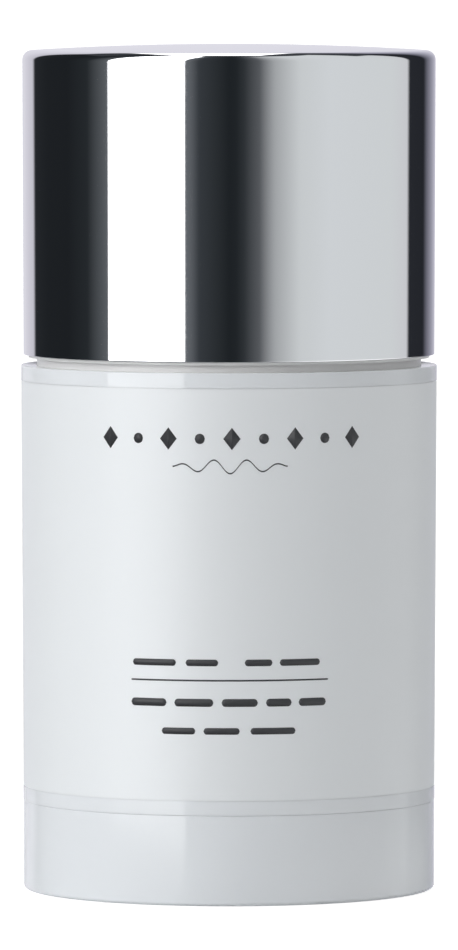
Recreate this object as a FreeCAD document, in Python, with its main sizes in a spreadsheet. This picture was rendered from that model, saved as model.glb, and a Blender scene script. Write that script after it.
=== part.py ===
# Twist-up deodorant stick: polished overcap, double-walled barrel, wrap label and turning base.
# Millimetres, +Z up. The origin is the centre of the foot ring that the pack stands on.
import FreeCAD, Part
import os
import re

import Sketcher

Vector = FreeCAD.Vector

# Every size that can be set by itself, written once. Diameters and heights are of the real pack.
SIZES = {
    # Barrel sleeve, the outer wall of the barrel
    "body_diameter": 51.3,
    "barrel_draft": 0.25,
    "barrel_height": 53.64,
    "barrel_gap": 0.04,
    "barrel_edge_round": 0.12,
    "sleeve_wall": 1.9,
    "foot_band": 1.72,
    "shoulder_band": 1.85,
    "ledge_drop": 1.5,
    "ledge_thickness": 1.5,
    "ledge_width": 1.1,
    # Inner barrel, which holds the product and carries the neck
    "sleeve_fit": 0.05,
    "tube_wall": 1.55,
    "tube_floor": 1.2,
    "relief_depth": 0.45,
    "relief_margin": 3.0,
    "neck_height": 8.2,
    "neck_round": 0.4,
    "bead_rise": 0.12,
    "bead_height": 1.2,
    "bead_level": 5.0,
    "hub_drop": 2.5,
    "hub_wall": 2.4,
    "key_count": 4,
    "key_width": 1.8,
    "key_depth": 1.2,
    "key_clearance": 0.25,
    "key_set_down": 4.0,
    # Wrap label
    "label_thickness": 0.09,
    "label_gap": 0.03,
    "label_sink": 0.02,
    "label_edge_gap": 0.05,
    "label_seam_angle": 1.4,
    # Overcap shell
    "cap_inset": 0.18,
    "cap_draft": 0.1,
    "cap_gap": 1.28,
    "cap_height": 37.4,
    "cap_dome": 0.8,
    "cap_edge_round": 0.6,
    "cap_inner_round": 0.3,
    "cap_wall": 0.6,
    "cap_mouth_round": 0.4,
    # Liner of the overcap
    "liner_fit": 0.06,
    "liner_drop": 0.35,
    "liner_top": 1.0,
    "liner_top_gap": 0.15,
    "liner_corner": 0.9,
    "liner_lead": 0.35,
    "snap_clearance": 0.1,
    "rim_gap": 0.1,
    "liner_rib_count": 12,
    "liner_rib_width": 0.9,
    # Dial, the turning base
    "dial_inset": 0.05,
    "dial_height": 11.0,
    "dial_wall": 1.5,
    "dial_floor": 1.6,
    "dial_foot_round": 0.5,
    "dial_top_round": 0.12,
    "foot_recess": 0.6,
    "foot_ring_width": 3.4,
    "foot_recess_slope": 0.5,
    "spigot_clearance": 0.12,
    "spigot_wall": 1.2,
    "spigot_gap": 0.35,
    "boss_wall": 2.4,
    "boss_gap": 0.3,
    "dial_rib_count": 12,
    "dial_rib_width": 1.0,
    "dial_rib_height": 5.5,
    # Lead screw
    "journal_diameter": 8.0,
    "journal_clearance": 0.08,
    "socket_clearance": 0.04,
    "spline_count": 8,
    "spline_width": 1.2,
    "spline_depth": 0.7,
    "spline_clearance": 0.05,
    "screw_chamfer": 0.6,
    "flange_gap": 0.15,
    "flange_width": 2.5,
    "flange_thickness": 0.8,
    "screw_root_diameter": 6.0,
    "thread_pitch": 4.0,
    "thread_height": 1.2,
    "thread_root_width": 2.2,
    "thread_crest_width": 1.0,
    "thread_bite": 0.2,
    "thread_margin": 0.6,
    "screw_cover": 10.5,
    # Carrier, which lifts the product
    "carrier_clearance": 0.25,
    "carrier_gap": 0.3,
    "carrier_floor": 1.6,
    "carrier_rim_height": 3.6,
    "carrier_rim_wall": 0.9,
    "nut_clearance": 0.2,
    "nut_wall": 2.4,
    "nut_height": 10.5,
    "fin_width": 1.2,
    "fin_reach": 8.2,
    "fin_height": 6.0,
    # Product
    "stick_clearance": 0.2,
    "product_gap": 0.05,
    "stick_set_down": 1.8,
    "stick_dome": 2.0,
    "stick_edge_round": 0.8,
    "screw_room": 0.5,
    "screw_end_gap": 1.0,
}

# Radii and levels that follow from the sizes. Levels are heights above the foot ring.
LAYOUT = {
    # Barrel, from the outside in
    "body_radius": "body_diameter / 2",
    "barrel_foot_radius": "body_radius - barrel_draft",
    "sleeve_bore": "body_radius - sleeve_wall",
    "ledge_bore": "sleeve_bore - ledge_width",
    "collar_radius": "sleeve_bore - sleeve_fit",
    "bead_radius": "collar_radius + bead_rise",
    "relief_radius": "collar_radius - relief_depth",
    "tube_bore": "collar_radius - tube_wall",
    "key_radius": "tube_bore - key_depth",
    "key_root": "tube_bore + (relief_radius - tube_bore) / 2",
    "key_groove_radius": "key_radius - key_clearance",
    "key_groove_outer": "tube_bore + key_clearance",
    "key_half": "key_width / 2",
    "key_groove_half": "key_half + key_clearance",
    # Barrel, from the foot up
    "barrel_foot": "dial_height + barrel_gap",
    "label_low": "barrel_foot + foot_band",
    "shoulder": "barrel_foot + barrel_height",
    "label_high": "shoulder - shoulder_band",
    "ledge_low": "barrel_foot + ledge_drop",
    "tube_foot": "ledge_low + ledge_thickness",
    "tube_floor_top": "tube_foot + tube_floor",
    "relief_low": "tube_floor_top + relief_margin",
    "relief_high": "shoulder - relief_margin",
    "neck_rim": "shoulder + neck_height",
    "bead_middle": "shoulder + bead_level",
    "bead_low": "bead_middle - bead_height / 2",
    "bead_high": "bead_middle + bead_height / 2",
    "hub_low": "tube_foot - hub_drop",
    "key_top": "shoulder - key_set_down",
    "key_length": "key_top - tube_floor_top",
    # Label and the recess that it lies in, parallel to the drafted wall
    "band_foot_radius": "barrel_foot_radius + barrel_draft * foot_band / barrel_height",
    "band_top_radius": "body_radius - barrel_draft * shoulder_band / barrel_height",
    "label_recess": "label_gap + label_thickness + label_sink",
    "recess_foot_radius": "band_foot_radius - label_recess",
    "recess_top_radius": "band_top_radius - label_recess",
    "label_foot_inner": "recess_foot_radius + label_gap",
    "label_top_inner": "recess_top_radius + label_gap",
    "label_foot_outer": "label_foot_inner + label_thickness",
    "label_top_outer": "label_top_inner + label_thickness",
    "label_foot": "label_low + label_edge_gap",
    "label_head": "label_high - label_edge_gap",
    "label_sweep": "360 - label_seam_angle",
    # Overcap shell and its liner
    "cap_top_radius": "body_radius - cap_inset",
    "cap_mouth_radius": "cap_top_radius - cap_draft",
    "cap_mouth": "shoulder + cap_gap",
    "cap_rim": "cap_mouth + cap_height",
    "cap_apex": "cap_rim + cap_dome",
    "hollow_mouth_radius": "cap_mouth_radius - cap_wall",
    "hollow_top_radius": "cap_top_radius - cap_wall",
    "hollow_rim": "cap_rim - cap_wall",
    "hollow_apex": "cap_apex - cap_wall",
    "liner_radius": "hollow_mouth_radius - liner_fit",
    "liner_crown_radius": "liner_radius - liner_corner",
    "liner_bore": "bead_radius + snap_clearance",
    "liner_lead_radius": "liner_bore + liner_lead",
    "liner_low": "cap_mouth - liner_drop",
    "liner_lead_top": "liner_low + liner_lead",
    "liner_high": "hollow_rim - liner_top_gap",
    "liner_shoulder": "liner_high - liner_corner",
    "liner_ceiling": "liner_high - liner_top",
    "liner_rib_low": "neck_rim + rim_gap",
    "liner_rib_length": "liner_ceiling + liner_top / 2 - liner_rib_low",
    "liner_rib_inner": "(tube_bore + collar_radius) / 2",
    "liner_rib_root": "(liner_bore + liner_radius) / 2",
    "liner_rib_half": "liner_rib_width / 2",
    # Lead screw
    "journal_radius": "journal_diameter / 2",
    "hub_bore": "journal_radius + journal_clearance",
    "hub_radius": "hub_bore + hub_wall",
    "flange_radius": "journal_radius + flange_width",
    "flange_low": "tube_floor_top + flange_gap",
    "flange_high": "flange_low + flange_thickness",
    "foot_tip_radius": "journal_radius - screw_chamfer",
    "foot_tip": "dial_floor_top + screw_chamfer",
    "screw_root": "screw_root_diameter / 2",
    "screw_crest": "screw_root + thread_height",
    "screw_tip_radius": "screw_root - screw_chamfer",
    "screw_top": "stick_edge - screw_cover",
    "screw_tip": "screw_top - screw_chamfer",
    "thread_inner": "screw_root - thread_bite",
    "thread_middle": "flange_high + thread_margin + thread_root_width / 2",
    "thread_root_low": "thread_middle - thread_root_width / 2",
    "thread_root_high": "thread_middle + thread_root_width / 2",
    "thread_crest_low": "thread_middle - thread_crest_width / 2",
    "thread_crest_high": "thread_middle + thread_crest_width / 2",
    "thread_run": "screw_tip - thread_margin - thread_root_width / 2 - thread_middle",
    "spline_inner": "journal_radius - spline_depth",
    "spline_outer": "journal_radius + spline_depth",
    "spline_half": "spline_width / 2",
    "spline_length": "boss_top - dial_floor_top",
    # Dial
    "dial_radius": "barrel_foot_radius - dial_inset",
    "dial_inner": "dial_radius - dial_wall",
    "foot_ring_inner": "dial_radius - foot_ring_width",
    "foot_recess_radius": "foot_ring_inner - foot_recess_slope",
    "dial_floor_top": "foot_recess + dial_floor",
    "spigot_radius": "ledge_bore - spigot_clearance",
    "spigot_inner": "spigot_radius - spigot_wall",
    "spigot_top": "tube_foot - spigot_gap",
    "socket_radius": "journal_radius + socket_clearance",
    "boss_radius": "socket_radius + boss_wall",
    "boss_top": "hub_low - boss_gap",
    "dial_rib_inner": "(socket_radius + boss_radius) / 2",
    "dial_rib_outer": "(dial_inner + dial_radius) / 2",
    "dial_rib_half": "dial_rib_width / 2",
    "socket_key_inner": "spline_inner + spline_clearance",
    "socket_key_outer": "(socket_radius + boss_radius) / 2",
    "socket_key_half": "spline_half - spline_clearance",
    # Carrier with its nut
    "carrier_radius": "tube_bore - carrier_clearance",
    "carrier_rim_inner": "carrier_radius - carrier_rim_wall",
    "carrier_low": "flange_high + carrier_gap",
    "carrier_floor_top": "carrier_low + carrier_floor",
    "carrier_rim_top": "carrier_floor_top + carrier_rim_height",
    "notch_length": "carrier_rim_top - carrier_low",
    "nut_bore": "screw_root + nut_clearance",
    "nut_radius": "screw_crest + nut_clearance + nut_wall",
    "nut_top": "carrier_low + nut_height",
    "nut_thread_outer": "screw_crest + nut_clearance",
    "nut_thread_middle": "thread_middle - thread_pitch",
    "nut_root_low": "nut_thread_middle - thread_root_width / 2 - nut_clearance",
    "nut_root_high": "nut_thread_middle + thread_root_width / 2 + nut_clearance",
    "nut_crest_low": "nut_thread_middle - thread_crest_width / 2 - nut_clearance",
    "nut_crest_high": "nut_thread_middle + thread_crest_width / 2 + nut_clearance",
    "nut_run": "nut_top + thread_pitch - nut_thread_middle",
    "fin_inner": "(nut_thread_outer + nut_radius) / 2",
    "fin_outer": "nut_radius + fin_reach",
    "fin_half": "fin_width / 2",
    # Product
    "stick_radius": "tube_bore - stick_clearance",
    "stick_plug_radius": "carrier_rim_inner - product_gap",
    "stick_edge": "neck_rim - stick_set_down",
    "stick_apex": "stick_edge + stick_dome",
    "stick_groove_length": "key_top + key_clearance - carrier_floor_top",
    "nut_room_radius": "nut_radius + product_gap",
    "nut_room_top": "nut_top + product_gap",
    "screw_room_radius": "screw_crest + screw_room",
    "screw_room_top": "screw_top + screw_end_gap",
    "fin_room_outer": "fin_outer + product_gap",
    "fin_room_half": "fin_half + product_gap",
    "fin_room_height": "fin_height + product_gap",
}

AXIS = "axis"
GROUND = "ground"

doc = FreeCAD.newDocument("DeodorantStick")


def fill_sheet(name, cells):
    """A spreadsheet with one word and one number or formula in each row."""
    sheet = doc.addObject("Spreadsheet::Sheet", name)
    for row, (word, content) in enumerate(cells.items(), 1):
        sheet.set(f"A{row}", word)
        sheet.set(f"B{row}", content)
        sheet.setAlias(f"B{row}", word)
    return sheet


def with_sheet(formula):
    """The formula with each driving size looked up in the Sizes sheet."""
    return re.sub(r"[a-z_]+", lambda word: f"Sizes.{word[0]}" if word[0] in SIZES else word[0], formula)


def cell(word):
    """Where a named value is kept, for use in an expression."""
    return f"Sizes.{word}" if word in SIZES else f"Layout.{word}"


def number(word):
    """The present value of a named size, radius or level."""
    if word in (AXIS, GROUND):
        return 0.0
    sheet = sizes if word in SIZES else layout
    return float(sheet.get(word))


def origin_feature(body, role):
    """One of the body's own planes or axes."""
    return next(o for o in body.Origin.OriginFeatures if o.Role == role)


def new_sketch(body, name, plane):
    sketch = body.newObject("Sketcher::SketchObject", name)
    sketch.AttachmentSupport = (origin_feature(body, plane), [""])
    sketch.MapMode = "FlatFace"
    return sketch


def dimension(sketch, kind, first, second, word):
    """A distance from the first point to the second, bound to a named value."""
    index = sketch.addConstraint(Sketcher.Constraint(kind, *first, *second, number(word)))
    sketch.setExpression(f"Constraints[{index}]", cell(word))


def pin_corner(sketch, side, across, up):
    """Holds the start of a side at its place from the sketch's origin."""
    if across == AXIS:
        sketch.addConstraint(Sketcher.Constraint("PointOnObject", side, 1, -2))
    else:
        dimension(sketch, "DistanceX", (-1, 1), (side, 1), across)
    if up == GROUND:
        sketch.addConstraint(Sketcher.Constraint("PointOnObject", side, 1, -1))
    else:
        dimension(sketch, "DistanceY", (-1, 1), (side, 1), up)


def dome_arc(start, end):
    """The arc that leaves start, has its centre on the axis and reaches the axis at end."""
    rise = end.y - start.y
    radius = (start.x**2 + rise**2) / (2 * rise)
    middle = Vector(start.x / 2, end.y - radius + (radius**2 - start.x**2 / 4) ** 0.5, 0)
    return Part.Arc(start, middle, end)


def outline(body, name, corners, dome_from=None):
    """Half section in the XZ plane, anticlockwise; the side that leaves dome_from is an arc."""
    sketch = new_sketch(body, name, "XZ_Plane")
    points = [Vector(number(across), number(up), 0) for across, up in corners]
    for side, (start, corner) in enumerate(zip(points, corners)):
        end = points[(side + 1) % len(points)]
        curved = corner == dome_from
        sketch.addGeometry(dome_arc(start, end) if curved else Part.LineSegment(start, end), False)
    for side, (across, up) in enumerate(corners):
        following = (side + 1) % len(corners)
        sketch.addConstraint(Sketcher.Constraint("Coincident", side, 2, following, 1))
        pin_corner(sketch, side, across, up)
        if (across, up) == dome_from:
            sketch.addConstraint(Sketcher.Constraint("PointOnObject", side, 3, -2))
    return sketch


def bar(body, name, level, inner, outer, half):
    """Rectangle lying along X at a level, from an inner to an outer radius."""
    sketch = new_sketch(body, name, "XY_Plane")
    sketch.setExpression("AttachmentOffset.Base.z", cell(level))
    near, far, side = number(inner), number(outer), number(half)
    points = [Vector(near, -side, 0), Vector(far, -side, 0), Vector(far, side, 0), Vector(near, side, 0)]
    for index, start in enumerate(points):
        sketch.addGeometry(Part.LineSegment(start, points[(index + 1) % 4]), False)
    for index in range(4):
        sketch.addConstraint(Sketcher.Constraint("Coincident", index, 2, (index + 1) % 4, 1))
        kind = "Vertical" if index % 2 else "Horizontal"
        sketch.addConstraint(Sketcher.Constraint(kind, index))
    dimension(sketch, "DistanceX", (-1, 1), (0, 1), inner)
    dimension(sketch, "DistanceX", (-1, 1), (0, 2), outer)
    dimension(sketch, "DistanceY", (0, 1), (-1, 1), half)
    dimension(sketch, "DistanceY", (-1, 1), (2, 1), half)
    return sketch


def new_body(label):
    body = doc.addObject("PartDesign::Body", label)
    body.Label = label
    return body


def revolve(body, sketch, sweep=None, kind="Revolution"):
    """Turns the half section about Z, all the way round unless a sweep is named."""
    turned = body.newObject(f"PartDesign::{kind}", "Turned")
    turned.Profile = sketch
    turned.ReferenceAxis = (sketch, ["V_Axis"])
    turned.Angle = 360
    if sweep:
        turned.Midplane = True
        turned.setExpression("Angle", cell(sweep))
    doc.recompute()
    return turned


def extrude(body, kind, name, sketch, length):
    """A pad or a pocket that goes up from the sketch."""
    feature = body.newObject(f"PartDesign::{kind}", name)
    feature.Profile = sketch
    feature.Reversed = kind == "Pocket"
    feature.setExpression("Length", cell(length))
    doc.recompute()
    return feature


def repeat_round(body, name, feature, count):
    """Copies a feature evenly round the Z axis."""
    pattern = body.newObject("PartDesign::PolarPattern", name)
    pattern.Originals = [feature]
    pattern.Axis = (origin_feature(body, "Z_Axis"), [""])
    pattern.Angle = 360
    pattern.setExpression("Occurrences", cell(count))
    body.Tip = pattern
    doc.recompute()
    return pattern


def round_rings(body, name, radius, rings):
    """Rounds the circular edges found at each given radius and level."""
    base = body.Tip
    chosen = []
    for across, up in rings:
        for index, edge in enumerate(base.Shape.Edges, 1):
            if edge.Degenerated or not isinstance(edge.Curve, Part.Circle):
                continue
            wide = abs(edge.Curve.Radius - number(across)) < 1e-4
            if wide and abs(edge.Curve.Center.z - number(up)) < 1e-4:
                chosen.append(f"Edge{index}")
    rounded = body.newObject("PartDesign::Fillet", name)
    rounded.Base = (base, chosen)
    rounded.setExpression("Radius", cell(radius))
    doc.recompute()
    return rounded


def helix(body, kind, name, corners, run):
    """Screws a section round the Z axis, right-handed, at the thread's pitch."""
    sketch = outline(body, f"{name}Section", corners)
    thread = body.newObject(f"PartDesign::{kind}", name)
    thread.Profile = sketch
    thread.ReferenceAxis = (sketch, ["V_Axis"])
    thread.Mode = 0
    thread.LeftHanded = False
    thread.setExpression("Pitch", cell("thread_pitch"))
    thread.setExpression("Height", cell(run))
    doc.recompute()
    return thread


def make_barrel_sleeve():
    """Outer wall: drafted, with a recess for the label and a ledge inside near its foot."""
    body = new_body("barrel_sleeve")
    corners = [
        ("sleeve_bore", "barrel_foot"),
        ("barrel_foot_radius", "barrel_foot"),
        ("band_foot_radius", "label_low"),
        ("recess_foot_radius", "label_low"),
        ("recess_top_radius", "label_high"),
        ("band_top_radius", "label_high"),
        ("body_radius", "shoulder"),
        ("sleeve_bore", "shoulder"),
        ("sleeve_bore", "tube_foot"),
        ("ledge_bore", "tube_foot"),
        ("ledge_bore", "ledge_low"),
        ("sleeve_bore", "ledge_low"),
    ]
    revolve(body, outline(body, "SleeveSection", corners))
    ends = [("barrel_foot_radius", "barrel_foot"), ("body_radius", "shoulder")]
    round_rings(body, "SleeveEnds", "barrel_edge_round", ends)
    return body


def make_inner_barrel():
    """Product tube with the neck, the floor, the screw's hub and the upright keys."""
    body = new_body("inner_barrel")
    corners = [
        ("hub_bore", "hub_low"),
        ("hub_radius", "hub_low"),
        ("hub_radius", "tube_foot"),
        ("collar_radius", "tube_foot"),
        ("collar_radius", "relief_low"),
        ("relief_radius", "relief_low"),
        ("relief_radius", "relief_high"),
        ("collar_radius", "relief_high"),
        ("collar_radius", "bead_low"),
        ("bead_radius", "bead_middle"),
        ("collar_radius", "bead_high"),
        ("collar_radius", "neck_rim"),
        ("tube_bore", "neck_rim"),
        ("tube_bore", "tube_floor_top"),
        ("hub_bore", "tube_floor_top"),
    ]
    revolve(body, outline(body, "TubeSection", corners))
    rim = [("collar_radius", "neck_rim"), ("tube_bore", "neck_rim")]
    round_rings(body, "NeckRim", "neck_round", rim)
    plan = bar(body, "KeyPlan", "tube_floor_top", "key_radius", "key_root", "key_half")
    key = extrude(body, "Pad", "Key", plan, "key_length")
    repeat_round(body, "Keys", key, "key_count")
    return body


def make_wrap_label():
    """Film wrapped round the barrel, with its ends apart at the back."""
    body = new_body("wrap_label")
    corners = [
        ("label_foot_inner", "label_foot"),
        ("label_foot_outer", "label_foot"),
        ("label_top_outer", "label_head"),
        ("label_top_inner", "label_head"),
    ]
    revolve(body, outline(body, "FilmSection", corners), "label_sweep")
    body.Placement = FreeCAD.Placement(Vector(), FreeCAD.Rotation(Vector(0, 0, 1), -90))
    return body


def make_cap_shell():
    """Drawn metal cap with a shallow dome, a rounded top edge and an even wall."""
    body = new_body("cap_shell")
    corners = [
        (AXIS, "cap_mouth"),
        ("cap_mouth_radius", "cap_mouth"),
        ("cap_top_radius", "cap_rim"),
        (AXIS, "cap_apex"),
    ]
    rim = ("cap_top_radius", "cap_rim")
    revolve(body, outline(body, "CapSection", corners, dome_from=rim))
    hollow = [
        (AXIS, "cap_mouth"),
        ("hollow_mouth_radius", "cap_mouth"),
        ("hollow_top_radius", "hollow_rim"),
        (AXIS, "hollow_apex"),
    ]
    hollow_rim = ("hollow_top_radius", "hollow_rim")
    revolve(body, outline(body, "HollowSection", hollow, dome_from=hollow_rim), kind="Groove")
    round_rings(body, "CapTopEdge", "cap_edge_round", [rim])
    round_rings(body, "CapInnerEdge", "cap_inner_round", [hollow_rim])
    round_rings(body, "CapMouth", "cap_mouth_round", [("cap_mouth_radius", "cap_mouth")])
    return body


def make_cap_liner():
    """Moulded cup in the cap that slides over the neck; its ribs stop on the neck's rim."""
    body = new_body("cap_liner")
    corners = [
        ("liner_lead_radius", "liner_low"),
        ("liner_radius", "liner_low"),
        ("liner_radius", "liner_shoulder"),
        ("liner_crown_radius", "liner_high"),
        (AXIS, "liner_high"),
        (AXIS, "liner_ceiling"),
        ("liner_bore", "liner_ceiling"),
        ("liner_bore", "liner_lead_top"),
    ]
    revolve(body, outline(body, "LinerSection", corners))
    plan = bar(body, "RibPlan", "liner_rib_low", "liner_rib_inner", "liner_rib_root", "liner_rib_half")
    rib = extrude(body, "Pad", "Rib", plan, "liner_rib_length")
    repeat_round(body, "Ribs", rib, "liner_rib_count")
    return body


def make_dial():
    """Turning base: a cup with a guide spigot, radial ribs and a splined socket."""
    body = new_body("dial")
    corners = [
        (AXIS, "foot_recess"),
        ("foot_recess_radius", "foot_recess"),
        ("foot_ring_inner", GROUND),
        ("dial_radius", GROUND),
        ("dial_radius", "dial_height"),
        ("dial_inner", "dial_height"),
        ("dial_inner", "dial_floor_top"),
        ("spigot_radius", "dial_floor_top"),
        ("spigot_radius", "spigot_top"),
        ("spigot_inner", "spigot_top"),
        ("spigot_inner", "dial_floor_top"),
        ("boss_radius", "dial_floor_top"),
        ("boss_radius", "boss_top"),
        ("socket_radius", "boss_top"),
        ("socket_radius", "dial_floor_top"),
        (AXIS, "dial_floor_top"),
    ]
    revolve(body, outline(body, "DialSection", corners))
    round_rings(body, "DialFoot", "dial_foot_round", [("dial_radius", GROUND)])
    round_rings(body, "DialTop", "dial_top_round", [("dial_radius", "dial_height")])
    plan = bar(body, "RibPlan", "dial_floor_top", "dial_rib_inner", "dial_rib_outer", "dial_rib_half")
    rib = extrude(body, "Pad", "Rib", plan, "dial_rib_height")
    repeat_round(body, "Ribs", rib, "dial_rib_count")
    names = ("socket_key_inner", "socket_key_outer", "socket_key_half")
    plan = bar(body, "SocketKeyPlan", "dial_floor_top", *names)
    key = extrude(body, "Pad", "SocketKey", plan, "spline_length")
    repeat_round(body, "SocketKeys", key, "spline_count")
    return body


def make_lead_screw():
    """Screw that the dial turns: splined foot, journal, flange and trapezoidal thread."""
    body = new_body("lead_screw")
    corners = [
        (AXIS, "dial_floor_top"),
        ("foot_tip_radius", "dial_floor_top"),
        ("journal_radius", "foot_tip"),
        ("journal_radius", "flange_low"),
        ("flange_radius", "flange_low"),
        ("flange_radius", "flange_high"),
        ("screw_root", "flange_high"),
        ("screw_root", "screw_tip"),
        ("screw_tip_radius", "screw_top"),
        (AXIS, "screw_top"),
    ]
    revolve(body, outline(body, "ScrewSection", corners))
    plan = bar(body, "SplinePlan", "dial_floor_top", "spline_inner", "spline_outer", "spline_half")
    groove = extrude(body, "Pocket", "Spline", plan, "spline_length")
    repeat_round(body, "Splines", groove, "spline_count")
    ridge = [
        ("thread_inner", "thread_root_low"),
        ("screw_crest", "thread_crest_low"),
        ("screw_crest", "thread_crest_high"),
        ("thread_inner", "thread_root_high"),
    ]
    helix(body, "AdditiveHelix", "Thread", ridge, "thread_run")
    return body


def make_carrier():
    """Cup that lifts the product: keyed rim, fins that grip the product, and the nut."""
    body = new_body("carrier")
    corners = [
        ("nut_bore", "carrier_low"),
        ("carrier_radius", "carrier_low"),
        ("carrier_radius", "carrier_rim_top"),
        ("carrier_rim_inner", "carrier_rim_top"),
        ("carrier_rim_inner", "carrier_floor_top"),
        ("nut_radius", "carrier_floor_top"),
        ("nut_radius", "nut_top"),
        ("nut_bore", "nut_top"),
    ]
    revolve(body, outline(body, "CarrierSection", corners))
    plan = bar(body, "FinPlan", "carrier_floor_top", "fin_inner", "fin_outer", "fin_half")
    turn_between_keys(plan)
    fin = extrude(body, "Pad", "Fin", plan, "fin_height")
    repeat_round(body, "Fins", fin, "key_count")
    names = ("key_groove_radius", "key_groove_outer", "key_groove_half")
    plan = bar(body, "NotchPlan", "carrier_low", *names)
    notch = extrude(body, "Pocket", "Notch", plan, "notch_length")
    repeat_round(body, "Notches", notch, "key_count")
    groove = [
        ("thread_inner", "nut_root_low"),
        ("nut_thread_outer", "nut_crest_low"),
        ("nut_thread_outer", "nut_crest_high"),
        ("thread_inner", "nut_root_high"),
    ]
    helix(body, "SubtractiveHelix", "NutThread", groove, "nut_run")
    return body


def turn_between_keys(sketch):
    """Turns a plan so that it lies half way between two keys."""
    sketch.AttachmentOffset = FreeCAD.Placement(Vector(), FreeCAD.Rotation(Vector(0, 0, 1), 1))
    sketch.setExpression("AttachmentOffset.Rotation.Angle", "180 / Sizes.key_count")


def make_deodorant_stick():
    """The product: domed top, foot set in the carrier, room round the screw and the nut."""
    body = new_body("deodorant_stick")
    corners = [
        ("nut_room_radius", "carrier_floor_top"),
        ("stick_plug_radius", "carrier_floor_top"),
        ("stick_plug_radius", "carrier_rim_top"),
        ("stick_radius", "carrier_rim_top"),
        ("stick_radius", "stick_edge"),
        (AXIS, "stick_apex"),
        (AXIS, "screw_room_top"),
        ("screw_room_radius", "screw_room_top"),
        ("screw_room_radius", "nut_room_top"),
        ("nut_room_radius", "nut_room_top"),
    ]
    rim = ("stick_radius", "stick_edge")
    revolve(body, outline(body, "StickSection", corners, dome_from=rim))
    round_rings(body, "StickEdge", "stick_edge_round", [rim])
    names = ("key_groove_radius", "key_groove_outer", "key_groove_half")
    plan = bar(body, "GroovePlan", "carrier_floor_top", *names)
    groove = extrude(body, "Pocket", "Groove", plan, "stick_groove_length")
    repeat_round(body, "Grooves", groove, "key_count")
    plan = bar(body, "FinRoomPlan", "carrier_floor_top", "fin_inner", "fin_room_outer", "fin_room_half")
    turn_between_keys(plan)
    room = extrude(body, "Pocket", "FinRoom", plan, "fin_room_height")
    repeat_round(body, "FinRooms", room, "key_count")
    return body


def check_document(bodies):
    """Stops the build if any feature failed or a piece isn't one sound solid."""
    failed = [o.Label for o in doc.Objects if {"Invalid", "Error"} & set(o.State)]
    if failed:
        raise RuntimeError(f"features that failed: {failed}")
    for body in bodies:
        shape = body.Shape
        if shape.isNull() or not shape.isValid() or len(shape.Solids) != 1:
            raise RuntimeError(f"{body.Label} isn't one valid solid")


sizes = fill_sheet("Sizes", {word: str(value) for word, value in SIZES.items()})
layout = fill_sheet("Layout", {word: "=" + with_sheet(formula) for word, formula in LAYOUT.items()})
doc.recompute()

pieces = [
    make_barrel_sleeve(),
    make_inner_barrel(),
    make_wrap_label(),
    make_cap_shell(),
    make_cap_liner(),
    make_dial(),
    make_lead_screw(),
    make_carrier(),
    make_deodorant_stick(),
]
doc.recompute()
check_document(pieces)

os.makedirs("parts", exist_ok=True)
for piece in pieces:
    piece.Shape.exportStep(f"parts/{piece.Label}.step")
    print(f"{piece.Label}: {piece.Shape.Volume / 1000:.2f} cm3")
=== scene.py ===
import math

import bmesh
import bpy
from bpy.props import FloatProperty, FloatVectorProperty, IntProperty, PointerProperty
from mathutils import Matrix, Vector


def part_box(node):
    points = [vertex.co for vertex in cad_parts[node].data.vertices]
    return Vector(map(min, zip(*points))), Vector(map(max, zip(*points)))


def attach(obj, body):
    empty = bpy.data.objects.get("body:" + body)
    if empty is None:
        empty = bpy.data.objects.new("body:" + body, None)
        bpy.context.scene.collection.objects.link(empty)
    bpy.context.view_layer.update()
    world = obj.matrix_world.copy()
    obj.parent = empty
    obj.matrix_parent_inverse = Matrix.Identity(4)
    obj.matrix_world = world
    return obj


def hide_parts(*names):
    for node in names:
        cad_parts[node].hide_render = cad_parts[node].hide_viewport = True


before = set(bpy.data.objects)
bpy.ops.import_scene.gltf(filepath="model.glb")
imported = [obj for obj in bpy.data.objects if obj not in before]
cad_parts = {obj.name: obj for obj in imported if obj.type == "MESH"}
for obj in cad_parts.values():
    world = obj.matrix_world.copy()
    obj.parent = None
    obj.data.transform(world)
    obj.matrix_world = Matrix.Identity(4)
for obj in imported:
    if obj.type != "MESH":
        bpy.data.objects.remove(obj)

bl_info = {
    "name": "Twist-up Deodorant Stick",
    "version": (1, 0, 0),
    "blender": (4, 5, 0),
    "location": "View3D > Sidebar > Deodorant",
    "description": "Builds the pieces, finishes and studio of a twist-up deodorant stick",
    "category": "Object",
}

MM = 0.001
FULL_TURN = math.tau
# Corners closer than this, in metres, are one corner
SAME_CORNER = 1e-7
# Room for rounding when an edge is looked up by its place, in metres
PLACE_SLACK = 2e-6


def linear(hex_colour):
    """An sRGB hex colour, such as "f2f2f5", as linear red, green and blue."""
    channels = [int(hex_colour[i : i + 2], 16) / 255 for i in (0, 2, 4)]
    return tuple(c / 12.92 if c <= 0.04045 else ((c + 0.055) / 1.055) ** 2.4 for c in channels)


def radius_of(node):
    """Outer radius of a CAD node, in metres."""
    low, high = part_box(node)
    return (high.y - low.y) / 2


def size(name, default, description, **limits):
    """A length property in metres, with its default given in millimetres."""
    return FloatProperty(name=name, description=description, default=default * MM, unit="LENGTH",
                         precision=5, min=0.0, **limits)


def colour(name, hex_colour, description):
    return FloatVectorProperty(name=name, description=description, subtype="COLOR", size=3,
                               default=linear(hex_colour), min=0.0, max=1.0)


class DEODORANT_PG_cap(bpy.types.PropertyGroup):
    wall: size("Wall", 0.6, "Thickness of the drawn metal")
    draft: size("Draft", 0.13, "How much narrower the mouth is than the top, on the radius")
    dome: size("Dome", 0.82, "Rise of the top over its rim")
    edge_round: size("Edge Round", 1.1, "Radius between the side and the top")
    mouth_round: size("Mouth Round", 0.1, "Radius of the outer edge of the mouth")
    metal: colour("Metal", "f3f3f6", "Colour of the polished metal")


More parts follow.
